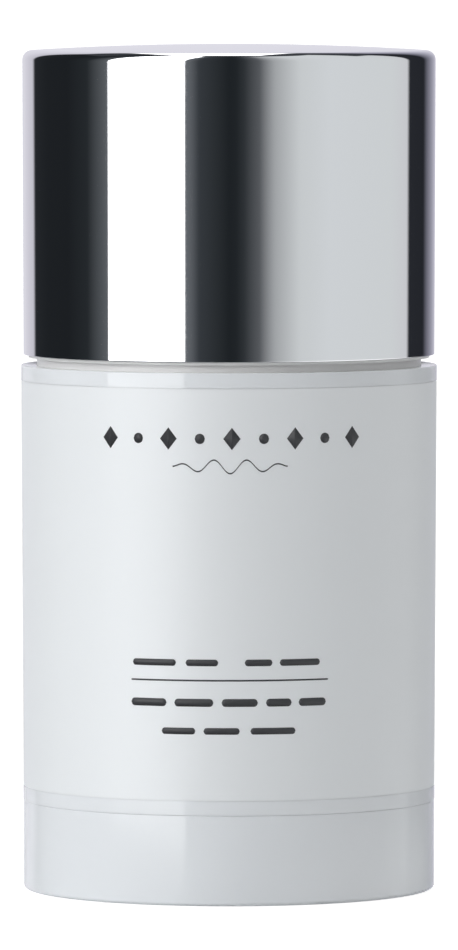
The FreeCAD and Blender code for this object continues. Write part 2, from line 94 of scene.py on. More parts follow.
class DEODORANT_PG_barrel(bpy.types.PropertyGroup):
    wall: size("Wall", 1.9, "Thickness of the outer wall at the shoulder")
    draft: size("Draft", 0.25, "How much narrower the foot is than the shoulder, on the radius")
    edge_round: size("Edge Round", 0.1, "Radius of the outer edge at the shoulder")
    foot_draft: size("Foot Draft", 0.0025, "How much narrower the foot is than the label's lower edge")
    foot_round: size("Foot Round", 0.04, "Radius of the outer edge at the foot")
    foot_reach: size("Foot Reach", 0.025, "How far the foot reaches down into the seam over the dial")
    label_recess: size("Label Recess", 0.14, "Depth of the recess under the label")
    label_margin: size("Label Margin", 0.03, "How far the recess runs past the label's edges")
    film: size("Film", 0.09, "Thickness of the label")
    film_sink: size("Film Sink", 0.02, "Depth of the label's face under the wall on each side of it")
    seam: size("Seam", 0.6, "Gap between the ends of the label at the back")
    ink_lift: size("Ink Lift", 0.001, "Height of the print's foot over the label")
    ink_coat: size("Ink Coat", 0.01, "Thickness of the print")
    plastic: colour("Plastic", "ecf0f4", "Colour of the glossy plastic")
    film_white: colour("Film White", "f2f6f9", "Colour of the label")
    ink: colour("Ink", "3c3d40", "Colour of the print")


class DEODORANT_PG_product(bpy.types.PropertyGroup):
    dome: size("Dome", 2.0, "Rise of the product's top over its edge")
    edge_round: size("Edge Round", 0.8, "Radius of the product's upper edge")
    wax: colour("Wax", "f1f2ee", "Colour of the product")


class DEODORANT_PG_studio(bpy.types.PropertyGroup):
    distance: size("Distance", 1225.0, "From the axis of the pack to the camera")
    eye: size("Eye Height", 117.6, "Height of the camera over the floor")
    aim: size("Aim Height", 51.0, "Height of the point that the camera looks at")
    steps: IntProperty(name="Steps", description="Sides of a turned piece", default=256, min=32, max=512)


def settings():
    return bpy.context.scene.deodorant


def turned(chain, closed=False, sweep=FULL_TURN, start=0.0):
    """A chain of (radius, height) corners in metres, spun round the Z axis from the start angle."""
    work = bmesh.new()
    corners = [work.verts.new((r * math.sin(start), -r * math.cos(start), z)) for r, z in chain]
    sides = [work.edges.new(pair) for pair in zip(corners, corners[1:])]
    if closed:
        sides.append(work.edges.new((corners[-1], corners[0])))
    whole = sweep == FULL_TURN
    bmesh.ops.spin(work, geom=corners + sides, axis=(0, 0, 1), cent=(0, 0, 0), angle=sweep,
                   steps=settings().studio.steps, use_merge=whole)
    bmesh.ops.remove_doubles(work, verts=work.verts, dist=SAME_CORNER)
    bmesh.ops.recalc_face_normals(work, faces=work.faces)
    return work


def ring_edges(work, radius, height):
    """The edges that lie on one circle round the Z axis."""

    def on_circle(vertex):
        across = math.hypot(vertex.co.x, vertex.co.y)
        return abs(across - radius) < PLACE_SLACK and abs(vertex.co.z - height) < PLACE_SLACK

    return [edge for edge in work.edges if all(map(on_circle, edge.verts))]


def round_ring(work, radius, height, amount, segments=6):
    """Rounds the edge that runs round the piece at a radius and height."""
    ring = ring_edges(work, radius, height)
    bmesh.ops.bevel(work, geom=ring, offset=amount, offset_type="OFFSET", affect="EDGES",
                    segments=segments, profile=0.5, material=-1)


def dome_chain(radius, rim, rise, points=14):
    """Corners from the rim up to the axis along a shallow dome."""
    curve = (radius**2 + rise**2) / (2 * rise)
    across = [radius * (1 - i / points) for i in range(points + 1)]
    return [(r, rim + rise - curve + math.sqrt(curve**2 - r**2)) for r in across]


def lean_on_large_faces(piece):
    """Shades a small round between two large faces without bending the shading of those faces."""
    even = piece.modifiers.new("Even Normals", "WEIGHTED_NORMAL")
    even.mode = "FACE_AREA"
    even.weight = 100
    # Faces count as alike in size within this many square metres
    even.thresh = 3e-7
    return even


def add_piece(work, name, material, body, nodes=()):
    """Makes the object of a finished mesh, dresses it and lets it ride on its CAD body."""
    mesh = bpy.data.meshes.new(name)
    work.to_mesh(mesh)
    work.free()
    mesh.shade_smooth()
    mesh.materials.append(material)
    piece = bpy.data.objects.new(name, mesh)
    bpy.context.scene.collection.objects.link(piece)
    lean_on_large_faces(piece)
    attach(piece, body)
    if nodes:
        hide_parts(*nodes)
    return piece


def add_node(tree, kind, options=None, inputs=None):
    """Adds a node; an input given as a socket is linked, and any other input is a set value."""
    made = tree.nodes.new(kind)
    for key, value in (options or {}).items():
        setattr(made, key, value)
    for key, value in (inputs or {}).items():
        if isinstance(value, bpy.types.NodeSocket):
            tree.links.new(value, made.inputs[key])
        else:
            made.inputs[key].default_value = value
    return made


def new_material(name):
    """An empty node material with its output."""
    material = bpy.data.materials.new(name)
    material.use_nodes = True
    material.node_tree.nodes.clear()
    return material, material.node_tree


def finish_material(tree, surface):
    """Links the surface shader to the output of the material."""
    output = add_node(tree, "ShaderNodeOutputMaterial")
    tree.links.new(surface.outputs[0], output.inputs["Surface"])


def per_metre(size_mm):
    """Scale of a pattern whose lumps are that many millimetres across."""
    return 1 / (size_mm * MM)


def polished_aluminium():
    """Drawn aluminium, buffed and lacquered: a near mirror whose haze comes and goes a little."""
    material, tree = new_material("Polished Aluminium")
    place = add_node(tree, "ShaderNodeTexCoord").outputs["Object"]
    haze = add_node(tree, "ShaderNodeTexNoise", inputs={
        "Vector": place, "Scale": per_metre(9.0), "Detail": 2.0})
    # Buffing marks are finer than the picture shows, so these are drawn a quarter of a millimetre long.
    around = add_node(tree, "ShaderNodeMapping", inputs={"Vector": place, "Scale": (1.0, 1.0, 14.0)})
    buffing = add_node(tree, "ShaderNodeTexNoise", inputs={
        "Vector": around.outputs["Vector"], "Scale": per_metre(0.25), "Detail": 2.0})
    relief = add_node(tree, "ShaderNodeBump", inputs={
        "Strength": 1.0, "Distance": 0.0004 * MM, "Height": buffing.outputs["Fac"]})
    polish = add_node(tree, "ShaderNodeMapRange", inputs={
        "Value": haze.outputs["Fac"], "To Min": 0.02, "To Max": 0.04})
    metal = add_node(tree, "ShaderNodeBsdfPrincipled", inputs={
        "Base Color": (*settings().cap.metal, 1.0),
        "Metallic": 1.0,
        "Roughness": polish.outputs["Result"],
        "Normal": relief.outputs["Normal"],
    })
    finish_material(tree, metal)
    return material


def gloss_polypropylene():
    """Polypropylene moulded in a polished tool: bright gloss with a faint ripple."""
    material, tree = new_material("Gloss Polypropylene")
    place = add_node(tree, "ShaderNodeTexCoord").outputs["Object"]
    ripple = add_node(tree, "ShaderNodeTexNoise", inputs={
        "Vector": place, "Scale": per_metre(2.2), "Detail": 2.0})
    haze = add_node(tree, "ShaderNodeTexNoise", inputs={
        "Vector": place, "Scale": per_metre(6.0), "Detail": 2.0})
    relief = add_node(tree, "ShaderNodeBump", inputs={
        "Strength": 1.0, "Distance": 0.0008 * MM, "Height": ripple.outputs["Fac"]})
    polish = add_node(tree, "ShaderNodeMapRange", inputs={
        "Value": haze.outputs["Fac"], "To Min": 0.03, "To Max": 0.05})
    plastic = add_node(tree, "ShaderNodeBsdfPrincipled", inputs={
        "Base Color": (*settings().barrel.plastic, 1.0),
        "Roughness": polish.outputs["Result"],
        "IOR": 1.49,
        "Subsurface Weight": 0.25,
        "Subsurface Radius": (0.5 * MM, 0.5 * MM, 0.5 * MM),
        "Subsurface Scale": 1.0,
        "Normal": relief.outputs["Normal"],
    })
    finish_material(tree, plastic)
    return material


def satin_film():
    """White polypropylene label film with a satin varnish: a broad soft sheen over fine grain."""
    material, tree = new_material("Satin Label Film")
    place = add_node(tree, "ShaderNodeTexCoord").outputs["Object"]
    # The varnish's own grain is some hundredths of a millimetre; drawn at 0.18 mm it just shows.
    grain = add_node(tree, "ShaderNodeTexNoise", inputs={
        "Vector": place, "Scale": per_metre(0.18), "Detail": 3.0})
    cloud = add_node(tree, "ShaderNodeTexNoise", inputs={
        "Vector": place, "Scale": per_metre(12.0), "Detail": 2.0})
    white = settings().barrel.film_white
    tone = add_node(tree, "ShaderNodeMix", {"data_type": "RGBA"}, {
        "Factor": cloud.outputs["Fac"],
        "A": (*[c * 0.985 for c in white], 1.0),
        "B": (*white, 1.0),
    })
    relief = add_node(tree, "ShaderNodeBump", inputs={
        "Strength": 1.0, "Distance": 0.0012 * MM, "Height": grain.outputs["Fac"]})
    sheen = add_node(tree, "ShaderNodeMapRange", inputs={
        "Value": grain.outputs["Fac"], "To Min": 0.33, "To Max": 0.41})
    film = add_node(tree, "ShaderNodeBsdfPrincipled", inputs={
        "Base Color": tone.outputs["Result"],
        "Roughness": sheen.outputs["Result"],
        "IOR": 1.6,
        "Normal": relief.outputs["Normal"],
    })
    finish_material(tree, film)
    return material


def printing_ink():
    """Screen-printed ink: dark, nearly matt, with the slight mottle of a thin coat."""
    material, tree = new_material("Printing Ink")
    place = add_node(tree, "ShaderNodeTexCoord").outputs["Object"]
    mottle = add_node(tree, "ShaderNodeTexNoise", inputs={
        "Vector": place, "Scale": per_metre(0.5), "Detail": 3.0})
    ink = settings().barrel.ink
    tone = add_node(tree, "ShaderNodeMix", {"data_type": "RGBA"}, {
        "Factor": mottle.outputs["Fac"],
        "A": (*[c * 0.85 for c in ink], 1.0),
        "B": (*[c * 1.2 for c in ink], 1.0),
    })
    dullness = add_node(tree, "ShaderNodeMapRange", inputs={
        "Value": mottle.outputs["Fac"], "To Min": 0.45, "To Max": 0.6})
    coat = add_node(tree, "ShaderNodeBsdfPrincipled", inputs={
        "Base Color": tone.outputs["Result"],
        "Roughness": dullness.outputs["Result"],
    })
    finish_material(tree, coat)
    return material


def moulded_plastic(name, hex_colour, roughness):
    """Inner mouldings from a plain tool: satin, with a fine even grain that softens highlights."""
    material, tree = new_material(name)
    place = add_node(tree, "ShaderNodeTexCoord").outputs["Object"]
    # Spark grain is about 0.05 mm; drawn at 0.35 mm it shows as a faint unevenness.
    grain = add_node(tree, "ShaderNodeTexNoise", inputs={
        "Vector": place, "Scale": per_metre(0.35), "Detail": 3.0})
    cloud = add_node(tree, "ShaderNodeTexNoise", inputs={
        "Vector": place, "Scale": per_metre(5.0), "Detail": 2.0})
    shade = linear(hex_colour)
    tone = add_node(tree, "ShaderNodeMix", {"data_type": "RGBA"}, {
        "Factor": cloud.outputs["Fac"],
        "A": (*[c * 0.96 for c in shade], 1.0),
        "B": (*shade, 1.0),
    })
    relief = add_node(tree, "ShaderNodeBump", inputs={
        "Strength": 1.0, "Distance": 0.003 * MM, "Height": grain.outputs["Fac"]})
    sheen = add_node(tree, "ShaderNodeMapRange", inputs={
        "Value": grain.outputs["Fac"], "To Min": roughness - 0.04, "To Max": roughness + 0.04})
    plastic = add_node(tree, "ShaderNodeBsdfPrincipled", inputs={
        "Base Color": tone.outputs["Result"],
        "Roughness": sheen.outputs["Result"],
        "IOR": 1.5,
        "Normal": relief.outputs["Normal"],
    })
    finish_material(tree, plastic)
    return material


def stick_wax():
    """Soap-gel product, poured hot: slightly see-through, waxy, with faint pour clouds."""
    material, tree = new_material("Stick Wax")
    place = add_node(tree, "ShaderNodeTexCoord").outputs["Object"]
    flow = add_node(tree, "ShaderNodeMapping", inputs={"Vector": place, "Scale": (1.0, 1.0, 2.5)})
    pour = add_node(tree, "ShaderNodeTexNoise", inputs={
        "Vector": flow.outputs["Vector"], "Scale": per_metre(4.0), "Detail": 4.0})
    pits = add_node(tree, "ShaderNodeTexNoise", inputs={
        "Vector": place, "Scale": per_metre(0.6), "Detail": 3.0})
    wax = settings().product.wax
    tone = add_node(tree, "ShaderNodeMix", {"data_type": "RGBA"}, {
        "Factor": pour.outputs["Fac"],
        "A": (*[c * 0.95 for c in wax], 1.0),
        "B": (*wax, 1.0),
    })
    relief = add_node(tree, "ShaderNodeBump", inputs={
        "Strength": 1.0, "Distance": 0.012 * MM, "Height": pits.outputs["Fac"]})
    bloom = add_node(tree, "ShaderNodeMapRange", inputs={
        "Value": pits.outputs["Fac"], "To Min": 0.36, "To Max": 0.5})
    body = add_node(tree, "ShaderNodeBsdfPrincipled", inputs={
        "Base Color": tone.outputs["Result"],
        "Roughness": bloom.outputs["Result"],
        "IOR": 1.44,
        "Subsurface Weight": 0.4,
        "Subsurface Radius": (1.2 * MM, 1.1 * MM, 1.0 * MM),
        "Subsurface Scale": 1.0,
        "Normal": relief.outputs["Normal"],
    })
    finish_material(tree, body)
    return material


class DEODORANT_OT_overcap(bpy.types.Operator):
    """Build the polished overcap"""

    bl_idname = "deodorant.overcap"
    bl_label = "Overcap"

    def execute(self, context):
        cap = settings().cap
        low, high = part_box("cap_shell")
        top, mouth = radius_of("cap_shell"), radius_of("cap_shell") - cap.draft
        rim = high.z - cap.dome
        work = turned([(mouth, low.z), *dome_chain(top, rim, cap.dome)])
        round_ring(work, top, rim, cap.edge_round, segments=10)
        bmesh.ops.solidify(work, geom=work.faces, thickness=cap.wall)
        bmesh.ops.recalc_face_normals(work, faces=work.faces)
        round_ring(work, mouth, low.z, cap.mouth_round, segments=4)
        add_piece(work, "overcap", polished_aluminium(), "cap", ["cap_shell"])
        return {"FINISHED"}


def wall_profile():
    """Gives the outer radius of the drafted barrel wall at any height."""
    low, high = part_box("barrel_sleeve")
    shoulder = radius_of("barrel_sleeve")
    taper = settings().barrel.draft / (high.z - low.z)
    return lambda height: shoulder - taper * (high.z - height)


class DEODORANT_OT_barrel(bpy.types.Operator):
    """Build the outer wall of the barrel"""

    bl_idname = "deodorant.barrel"
    bl_label = "Barrel Wall"

    def execute(self, context):
        barrel = settings().barrel
        low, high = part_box("barrel_sleeve")
        label_low, label_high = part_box("wrap_label")
        wall_radius = wall_profile()
        bore = wall_radius(high.z) - barrel.wall
        sole, shoulder = low.z - barrel.foot_reach, wall_radius(high.z)
        step_low, step_high = label_low.z - barrel.label_margin, label_high.z + barrel.label_margin
        foot = wall_radius(step_low) - barrel.foot_draft
        chain = [
            (bore, sole),
            (foot, sole),
            (wall_radius(step_low), step_low),
            (wall_radius(step_low) - barrel.label_recess, step_low),
            (wall_radius(step_high) - barrel.label_recess, step_high),
            (wall_radius(step_high), step_high),
            (shoulder, high.z),
            (bore, high.z),
        ]
        work = turned(chain, closed=True)
        round_ring(work, foot, sole, barrel.foot_round)
        round_ring(work, shoulder, high.z, barrel.edge_round)
        add_piece(work, "barrel_wall", gloss_polypropylene(), "barrel", ["barrel_sleeve"])
        return {"FINISHED"}


class DEODORANT_OT_label(bpy.types.Operator):
    """Build the wrap label with its seam at the back"""

    bl_idname = "deodorant.label"
    bl_label = "Wrap Label"

    def execute(self, context):
        barrel = settings().barrel
        low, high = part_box("wrap_label")
        wall_radius = wall_profile()
        foot, head = (wall_radius(z) - barrel.film_sink for z in (low.z, high.z))
        gap = barrel.seam / head
        work = turned([(foot, low.z), (head, high.z)], sweep=FULL_TURN - gap, start=math.pi + gap / 2)
        for face in work.faces:
            middle = face.calc_center_median()
            if face.normal.dot(Vector((middle.x, middle.y, 0.0))) < 0:
                face.normal_flip()
        bmesh.ops.solidify(work, geom=work.faces, thickness=barrel.film)
        add_piece(work, "wrap_film", satin_film(), "barrel", ["wrap_label"])
        return {"FINISHED"}


# The print's marks in millimetres, with heights over the foot of the pack
FEWEST_COLUMNS = 12
COLUMN_WIDTH = 0.12
EMBLEM_COUNT = 9
EMBLEM_PITCH = 3.9
EMBLEM_SHIFT = 0.35
EMBLEM_HEIGHT = 56.75
LOZENGE_SIZE = (2.1, 2.7)
DOT_SIZE = (1.25, 1.25)
WAVE = {"start": -6.9, "stop": 7.2, "up": 53.4, "rise": 0.85, "stroke": 0.17}
WAVE_SWINGS = 3.5
WAVE_STEPS = 96
# Rows of dashes: height over the foot, thickness, and the middle and width of each dash
DASH_ROWS = (
    (29.6, 0.8, ((-9.3, 5.6), (-3.3, 4.0), (3.6, 3.4), (8.8, 5.2))),
    (27.45, 0.2, ((0.1, 24.9),)),
    (24.75, 0.95, ((-10.0, 4.6), (-4.3, 4.8), (1.3, 4.4), (6.1, 3.2), (10.4, 3.6))),
    (21.3, 0.8, ((-6.2, 4.2), (-0.9, 4.4), (5.4, 5.6))),
)


def lozenge(share):
    return 1 - abs(share)


def disc(share):
    return math.sqrt(max(0.0, 1 - share**2))


def flat_mark(work, across, up, width, height, outline):
    """A filled mark of the print in millimetres, laid out flat; outline gives its height along it."""
    columns = max(FEWEST_COLUMNS, round(width / COLUMN_WIDTH))
    made = bmesh.ops.create_grid(work, x_segments=columns, y_segments=1, size=1.0)["verts"]
    for corner in made:
        tall = height / 2 * outline(corner.co.x)
        corner.co = (across + corner.co.x * width / 2, up + math.copysign(tall, corner.co.y), 0)


def flat_dash(work, across, up, width, height):
    """A dash of the print with round ends."""

    def outline(share):
        past = (abs(share) - 1) * width / height + 1
        return disc(past) if past > 0 else 1.0

    flat_mark(work, across, up, width, height, outline)


def flat_wave(work, start, stop, up, rise, stroke):
    """A fine flourish: a wave whose swings die away towards both ends."""
    pen = [work.verts.new((start, up - stroke / 2, 0)), work.verts.new((start, up + stroke / 2, 0))]
    line = [work.edges.new(pen)]
    for place in range(1, WAVE_STEPS + 1):
        share = place / WAVE_STEPS
        swell = rise * math.sin(math.pi * share) ** 0.7
        moved = bmesh.ops.extrude_edge_only(work, edges=line)["geom"]
        line = [item for item in moved if isinstance(item, bmesh.types.BMEdge)]
        across = start + (stop - start) * share
        level = up + swell * math.sin(FULL_TURN * WAVE_SWINGS * share)
        ends = sorted((item for item in moved if isinstance(item, bmesh.types.BMVert)), key=lambda v: v.co.y)
        for end, side in zip(ends, (-0.5, 0.5)):
            end.co = (across, level + side * stroke, 0)


def wrap_print(work, lift, thickness):
    """Bends the flat print round the label and gives it its thickness."""
    wall_radius = wall_profile()
    for vertex in work.verts:
        height = vertex.co.y * MM
        radius = wall_radius(height) + lift
        angle = vertex.co.x * MM / radius
        vertex.co = (radius * math.sin(angle), -radius * math.cos(angle), height)
    bmesh.ops.recalc_face_normals(work, faces=work.faces)
    inward = [face for face in work.faces if face.normal.dot(face.calc_center_median()) < 0]
    bmesh.ops.reverse_faces(work, faces=inward)
    bmesh.ops.solidify(work, geom=work.faces, thickness=thickness)


class DEODORANT_OT_print(bpy.types.Operator):
    """Build the plain printed marks of the label"""

    bl_idname = "deodorant.print"
    bl_label = "Print"

    def execute(self, context):
        barrel = settings().barrel
        work = bmesh.new()
        for place in range(EMBLEM_COUNT):
            across = EMBLEM_PITCH * (place - EMBLEM_COUNT // 2) + EMBLEM_SHIFT
            mark, outline = (DOT_SIZE, disc) if place % 2 else (LOZENGE_SIZE, lozenge)
            flat_mark(work, across, EMBLEM_HEIGHT, *mark, outline)
        flat_wave(work, **WAVE)
        for height, thickness, dashes in DASH_ROWS:
            for across, width in dashes:
                flat_dash(work, across, height, width, thickness)
        # The flat print is in millimetres, so corners a millionth of one apart are one corner
        bmesh.ops.remove_doubles(work, verts=work.verts, dist=1e-6)
        wrap_print(work, barrel.ink_lift, barrel.ink_coat)
        add_piece(work, "label_print", printing_ink(), "barrel")
        return {"FINISHED"}


class DEODORANT_OT_product(bpy.types.Operator):
    """Build the product"""

    bl_idname = "deodorant.product"
    bl_label = "Product"

    def execute(self, context):
        product = settings().product
        low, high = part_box("deodorant_stick")
        radius = radius_of("deodorant_stick")
        edge = high.z - product.dome
        work = turned([(0.0, low.z), (radius, low.z), *dome_chain(radius, edge, product.dome)])
        round_ring(work, radius, edge, product.edge_round)
        add_piece(work, "product", stick_wax(), "stick", ["deodorant_stick"])
        return {"FINISHED"}


def smooth_by_modifier(node):
    """Joins a CAD node's loose triangles and smooths it up to its real edges, mesh untouched."""
    weld = node.modifiers.new("Weld", "WELD")
    weld.merge_threshold = 1e-6
    group = bpy.data.node_groups.get("Smooth By Angle") or smooth_group()
    shade = node.modifiers.new("Smooth By Angle", "NODES")
    shade.node_group = group
    lean_on_large_faces(node).keep_sharp = True


def smooth_group():
    """Geometry nodes that shade smooth all but the edges that turn by more than 32 degrees."""
    group = bpy.data.node_groups.new("Smooth By Angle", "GeometryNodeTree")
    group.interface.new_socket("Geometry", in_out="INPUT", socket_type="NodeSocketGeometry")
    group.interface.new_socket("Geometry", in_out="OUTPUT", socket_type="NodeSocketGeometry")
    source = add_node(group, "NodeGroupInput")
    angle = add_node(group, "GeometryNodeInputMeshEdgeAngle")
    gentle = add_node(group, "FunctionNodeCompare", {"operation": "LESS_THAN"}, {
        "A": angle.outputs["Unsigned Angle"], "B": math.radians(32)})
    faces = add_node(group, "GeometryNodeSetShadeSmooth", {"domain": "FACE"}, {
        "Geometry": source.outputs["Geometry"], "Shade Smooth": True})
    edges = add_node(group, "GeometryNodeSetShadeSmooth", {"domain": "EDGE"}, {
        "Geometry": faces.outputs["Geometry"], "Shade Smooth": gentle.outputs["Result"]})
    add_node(group, "NodeGroupOutput", inputs={"Geometry": edges.outputs["Geometry"]})
    return group


class DEODORANT_OT_mouldings(bpy.types.Operator):
    """Dress the dial and the inner mouldings"""

    bl_idname = "deodorant.mouldings"
    bl_label = "Mouldings"

    def execute(self, context):
        finishes = {
            "dial": gloss_polypropylene(),
            "inner_barrel": moulded_plastic("Satin Polypropylene", "f6f6f6", 0.3),
            "cap_liner": moulded_plastic("Natural Polyethylene", "f3f4f4", 0.36),
            "lead_screw": moulded_plastic("Acetal", "f0efea", 0.28),
            "carrier": moulded_plastic("White Polyethylene", "ececea", 0.36),
        }
        for node, finish in finishes.items():
            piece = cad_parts[node]
            piece.data.materials.clear()
            piece.data.materials.append(finish)
            smooth_by_modifier(piece)
        return {"FINISHED"}


# What polished surfaces mirror all round the pack, in degrees off the camera's side
MIRROR_BANDS = (
    (-180, "dfdee7"),
    (-163, "dddce4"),
    (-152, "d3d1da"),
    (-142.6, "c9c8d0"),
    (-139, "26292c"),
    (-122, "1f2225"),
    (-102, "1e2124"),
    (-86, "272b2e"),
    (-75, "54585b"),
    (-71.6, "606467"),
    (-25, "6a6e71"),
    (-22, "62666a"),
    (-16.6, "383c40"),
    (-8, "2d3134"),
    (0, "202427"),
    (4, "222629"),
    (8.6, "313538"),
    (17, "5a5d60"),
    (25.6, "a8abac"),
    (40, "cfd3d3"),
    (58, "d6dadb"),
    (103, "d4d8d8"),
    (118.5, "d0d1d3"),
    (120.5, "282a2f"),
    (140, "25272c"),
    (147, "6f6f7b"),
    (165, "b6b5c3"),
    (180, "dfdee7"),
)
# The light that matt surfaces gather all round the pack
SOFT_BANDS = (
    (-180, "a7a7a7"),
    (-150, "7c7c7c"),
    (-120, "626262"),
    (-90, "b1b1b1"),
    (-60, "ffffff"),
    (-30, "dcdcdc"),
    (0, "959595"),
    (30, "4e4e4e"),
    (60, "1b1b1b"),
    (90, "8f8f8f"),
    (120, "efefef"),
    (150, "d0d0d0"),
    (180, "a7a7a7"),
)
# Lamps and walls of the studio: from and to in degrees, then the softness of those edges
SOFTBOX_ROUND = (-71.0, -24.8, 0.5)
SOFTBOX_UP = (0.0, 74.0, 0.04)
OVERHEAD_SIDEWAYS = (-16.0, 9.5, 1.5)
OVERHEAD_BACKWARDS = (-6.0, 40.0, 5.0)
TABLE_ROUND = (40.0, 129.0, 25.0)
TABLE_UP = (-60.0, -5.1, 0.15)
WALLS_UP = (-60.0, 68.0, 1.0)
ROOF_UP = (46.0, 120.0, 2.0)
ROOF_BACKWARDS = (10.0, 120.0, 2.0)


def set_stops(ramp, bands):
    """Fills a colour ramp for each direction round the pack, in degrees off the camera's side."""
    elements = ramp.color_ramp.elements
    while len(elements) > 1:
        elements.remove(elements[-1])
    for index, (degrees, hex_colour) in enumerate(bands):
        place = (degrees + 180) / 360
        element = elements[0] if index == 0 else elements.new(place)
        element.position = place
        element.color = (*linear(hex_colour), 1.0)


def lamp_span(tree, angle, low, high, blur):
    """1 between two edges of a lamp in degrees and 0 outside them, with soft edges."""
    sides = []
    for edge, ends in ((low, (0.0, 1.0)), (high, (1.0, 0.0))):
        sides.append(add_node(tree, "ShaderNodeMapRange", inputs={
            "Value": angle,
            "From Min": math.radians(edge - blur), "From Max": math.radians(edge + blur),
            "To Min": ends[0], "To Max": ends[1]}).outputs["Result"])
    return add_node(tree, "ShaderNodeMath", {"operation": "MULTIPLY"}, {0: sides[0], 1: sides[1]}).outputs[0]


def studio_world():
    """Soft studio surroundings: softboxes on the left and overhead, dark flags, a grey reflector."""
    world = bpy.data.worlds.new("Studio")
    world.use_nodes = True
    tree = world.node_tree
    tree.nodes.clear()
    heading = add_node(tree, "ShaderNodeTexCoord").outputs["Generated"]
    across, along, up = add_node(tree, "ShaderNodeSeparateXYZ", inputs={0: heading}).outputs
    towards = add_node(tree, "ShaderNodeMath", {"operation": "MULTIPLY"}, {0: along, 1: -1.0}).outputs[0]
    azimuth = add_node(tree, "ShaderNodeMath", {"operation": "ARCTAN2"}, {0: across, 1: towards}).outputs[0]
    elevation = add_node(tree, "ShaderNodeMath", {"operation": "ARCSINE"}, {0: up}).outputs[0]
    turn = add_node(tree, "ShaderNodeMath", {"operation": "MULTIPLY_ADD"}, {
        0: azimuth, 1: 1 / FULL_TURN, 2: 0.5}).outputs[0]

    # The tall softbox on the left, whose lower edge slants a little
    slant = add_node(tree, "ShaderNodeMath", {"operation": "MULTIPLY_ADD"}, {
        0: azimuth, 1: -0.0062, 2: math.radians(-5.50)}).outputs[0]
    over_edge = add_node(tree, "ShaderNodeMath", {"operation": "SUBTRACT"}, {
        0: elevation, 1: slant}).outputs[0]
    softbox = add_node(tree, "ShaderNodeMath", {"operation": "MULTIPLY"}, {
        0: lamp_span(tree, azimuth, *SOFTBOX_ROUND),
        1: lamp_span(tree, over_edge, *SOFTBOX_UP)}).outputs[0]

    # The softbox overhead, in degrees off the zenith to the side and to the back
    sideways = add_node(tree, "ShaderNodeMath", {"operation": "ARCTAN2"}, {0: across, 1: up}).outputs[0]
    backwards = add_node(tree, "ShaderNodeMath", {"operation": "ARCTAN2"}, {0: along, 1: up}).outputs[0]
    overhead = add_node(tree, "ShaderNodeMath", {"operation": "MULTIPLY"}, {
        0: lamp_span(tree, sideways, *OVERHEAD_SIDEWAYS),
        1: lamp_span(tree, backwards, *OVERHEAD_BACKWARDS)}).outputs[0]

    # The white table, which the foot of the pack reflects on the right
    table = add_node(tree, "ShaderNodeMath", {"operation": "MULTIPLY"}, {
        0: lamp_span(tree, azimuth, *TABLE_ROUND),
        1: lamp_span(tree, elevation, *TABLE_UP)}).outputs[0]
    boxes = add_node(tree, "ShaderNodeMath", {"operation": "MAXIMUM"}, {0: softbox, 1: overhead}).outputs[0]
    lamps = add_node(tree, "ShaderNodeMath", {"operation": "MAXIMUM"}, {0: boxes, 1: table}).outputs[0]

    bands = add_node(tree, "ShaderNodeValToRGB", inputs={"Fac": turn})
    set_stops(bands, MIRROR_BANDS)
    # Pale walls, under a dark roof that comes lower at the back
    roof = add_node(tree, "ShaderNodeMath", {"operation": "MULTIPLY"}, {
        0: lamp_span(tree, elevation, *ROOF_UP),
        1: lamp_span(tree, backwards, *ROOF_BACKWARDS)}).outputs[0]
    below_roof = add_node(tree, "ShaderNodeMath", {"operation": "SUBTRACT"}, {
        0: lamp_span(tree, elevation, *WALLS_UP), 1: roof}).outputs[0]
    sides = add_node(tree, "ShaderNodeMix", {"data_type": "RGBA"}, {
        "Factor": below_roof,
        "A": (*linear("3c3f43"), 1.0),
        "B": bands.outputs["Color"]})
    mirror = add_node(tree, "ShaderNodeMix", {"data_type": "RGBA"}, {
        "Factor": lamps, "A": sides.outputs["Result"], "B": (1, 1, 1, 1)})
    # Both softboxes shine 3.4 times as bright as white, and the table half as bright again
    lamp_glow = add_node(tree, "ShaderNodeMath", {"operation": "MULTIPLY_ADD"}, {
        0: boxes, 1: 2.4, 2: 1.0}).outputs[0]
    glow = add_node(tree, "ShaderNodeMath", {"operation": "MULTIPLY_ADD"}, {
        0: table, 1: 0.5, 2: lamp_glow}).outputs[0]

    # Matt surfaces gather most of their light from low all round, less from above and below
    soft = add_node(tree, "ShaderNodeValToRGB", inputs={"Fac": turn})
    set_stops(soft, SOFT_BANDS)
    off_level = add_node(tree, "ShaderNodeMath", {"operation": "ABSOLUTE"}, {0: elevation}).outputs[0]
    level = add_node(tree, "ShaderNodeMapRange", {"interpolation_type": "SMOOTHSTEP"}, {
        "Value": off_level, "From Min": 0.0, "From Max": math.radians(60),
        "To Min": 3.95, "To Max": 0.6}).outputs["Result"]

    paths = add_node(tree, "ShaderNodeLightPath").outputs
    seen = add_node(tree, "ShaderNodeBackground", inputs={"Color": (1, 1, 1, 1), "Strength": 1.0})
    mirrored = add_node(tree, "ShaderNodeBackground", inputs={
        "Color": mirror.outputs["Result"], "Strength": glow})
    lighting = add_node(tree, "ShaderNodeBackground", inputs={
        "Color": soft.outputs["Color"], "Strength": level})
    indirect = add_node(tree, "ShaderNodeMixShader", inputs={
        0: paths["Is Glossy Ray"], 1: lighting.outputs[0], 2: mirrored.outputs[0]})
    all_rays = add_node(tree, "ShaderNodeMixShader", inputs={
        0: paths["Is Camera Ray"], 1: indirect.outputs[0], 2: seen.outputs[0]})
    add_node(tree, "ShaderNodeOutputWorld", inputs={"Surface": all_rays.outputs[0]})
    world.cycles.sampling_method = "NONE"
    return world


